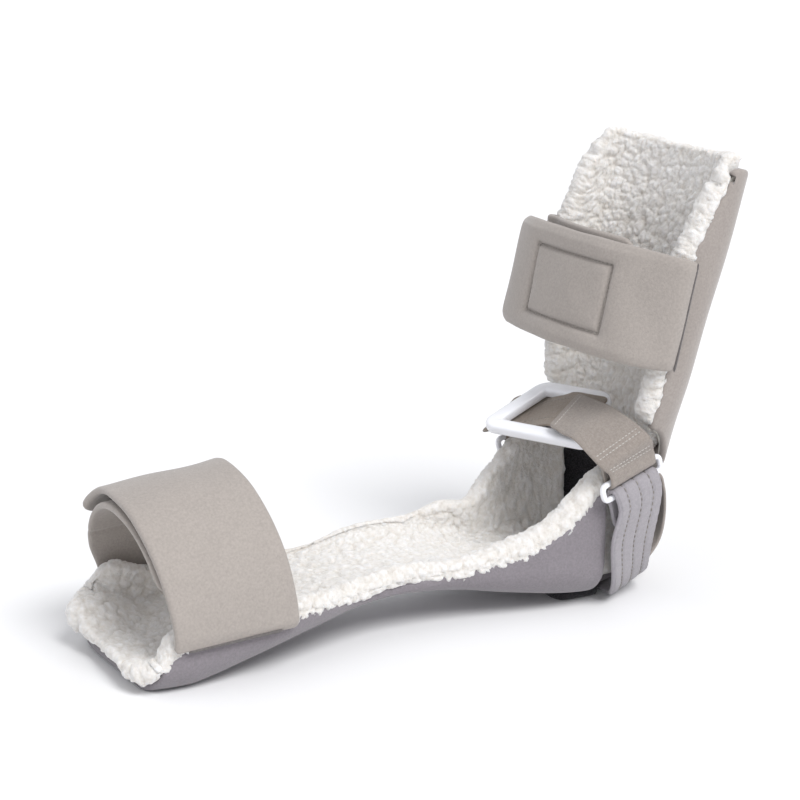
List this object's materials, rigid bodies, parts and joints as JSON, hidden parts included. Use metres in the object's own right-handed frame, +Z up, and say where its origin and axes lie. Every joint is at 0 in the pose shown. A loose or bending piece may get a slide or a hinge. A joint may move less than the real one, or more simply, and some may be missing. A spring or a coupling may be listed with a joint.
{
  "type": "ankle_foot_orthosis",
  "caption": "Ankle foot orthosis: a padded L-shaped splint with a thick fleece lining, wide calf and forefoot strap closures, a quilted heel stirrup and an instep strap with a plastic slide.",
  "frame": {"origin": "on the rest surface, under the heel's sole pad", "axes": "+X towards the toes, +Y towards the side where the closing straps are sewn on, +Z up"},
  "size_m": [0.3578, 0.1341, 0.241],
  "materials": {
    "cover_fabric": "brushed foam-backed cover fabric",
    "foot_fabric": "brushed foam-backed cover fabric",
    "strap_fabric": "padded loop fabric",
    "quilted_fabric": "quilted, three rows of stitches",
    "webbing": "woven loop webbing",
    "hook": "hook fastener tape",
    "fleece": "curly pile fleece",
    "shell_plastic": "moulded sheet",
    "stay_metal": "mill finish, bendable",
    "rivet_metal": "domed head",
    "white_plastic": "gloss, rounded edges",
    "black_foam": "soft matte"
  },
  "bodies": {
    "splint": {"calf_cover": "cover_fabric", "calf_shell": "shell_plastic", "foot_cover": "foot_fabric", "foot_shell": "shell_plastic", "spine_stay": "stay_metal", "rivet_calf_upper": "rivet_metal", "rivet_calf_lower": "rivet_metal", "rivet_foot_rear": "rivet_metal", "rivet_foot_front": "rivet_metal", "heel_sleeve": "cover_fabric", "heel_sole_pad": "black_foam", "heel_pad": "black_foam", "calf_hook_strip_near": "hook", "calf_hook_strip_far": "hook", "foot_hook_strip_near": "hook", "foot_hook_strip_far": "hook", "calf_liner": "fleece", "foot_liner": "fleece", "heel_stirrup": "quilted_fabric"},
    "calf_closure": {"calf_strap": "strap_fabric", "calf_strap_hook": "hook"},
    "calf_under": {"calf_under_strap": "strap_fabric"},
    "forefoot_closure": {"forefoot_strap": "strap_fabric", "forefoot_strap_hook": "hook"},
    "forefoot_under": {"forefoot_under_strap": "strap_fabric"},
    "ring_near": {"ankle_ring_near": "white_plastic"},
    "ring_far": {"ankle_ring_far": "white_plastic"},
    "instep_near": {"instep_strap_near": "webbing", "instep_hook": "hook"},
    "instep_far": {"instep_strap_far": "webbing"},
    "slide": {"instep_slide": "white_plastic"}
  },
  "joints": [
    {"name": "calf_strap_open", "type": "hinge", "parent": "splint", "child": "calf_closure", "pos_m": [-0.03912, 0.06208, 0.159], "axis": [-0.1283, 0.1002, 0.9867], "range_deg": [0, 140]},
    {"name": "calf_under_open", "type": "hinge", "parent": "splint", "child": "calf_under", "pos_m": [-0.03912, -0.06208, 0.159], "axis": [0.1283, 0.1002, -0.9867], "range_deg": [0, 21]},
    {"name": "forefoot_strap_open", "type": "hinge", "parent": "splint", "child": "forefoot_closure", "pos_m": [0.209, 0.05335, 0.02325], "axis": [-0.9985, 0, 0.0546], "range_deg": [0, 130]},
    {"name": "forefoot_under_open", "type": "hinge", "parent": "splint", "child": "forefoot_under", "pos_m": [0.209, -0.05335, 0.02325], "axis": [0.9985, 0, -0.0546], "range_deg": [0, 65]},
    {"name": "ring_near_swing", "type": "hinge", "parent": "splint", "child": "ring_near", "pos_m": [-0.01925, 0.048, 0.06815], "axis": [-0.952, -0.1209, 0.2811], "range_deg": [0, 25]},
    {"name": "ring_far_swing", "type": "hinge", "parent": "splint", "child": "ring_far", "pos_m": [-0.01925, -0.048, 0.06815], "axis": [0.952, -0.1209, -0.2811], "range_deg": [0, 5]},
    {"name": "instep_near_open", "type": "hinge", "parent": "ring_near", "child": "instep_near", "pos_m": [-0.01685, 0.04809, 0.0763], "axis": [-0.952, -0.1209, 0.2811], "range_deg": [0, 95]},
    {"name": "instep_far_open", "type": "hinge", "parent": "ring_far", "child": "instep_far", "pos_m": [-0.01685, -0.04809, 0.0763], "axis": [0.952, -0.1209, -0.2811], "range_deg": [0, 14.25]},
    {"name": "slide_shift", "type": "slide", "parent": "instep_far", "child": "slide", "axis": [-0.4022, 0.9154, 0.018], "range_m": [-0.002, 0.002]}
  ],
  "couplings": [
    {"joint": "calf_under_open", "follows": "calf_strap_open", "ratio": 0.15},
    {"joint": "forefoot_under_open", "follows": "forefoot_strap_open", "ratio": 0.5},
    {"joint": "ring_far_swing", "follows": "ring_near_swing", "ratio": 0.2},
    {"joint": "instep_far_open", "follows": "instep_near_open", "ratio": 0.15}
  ]
}
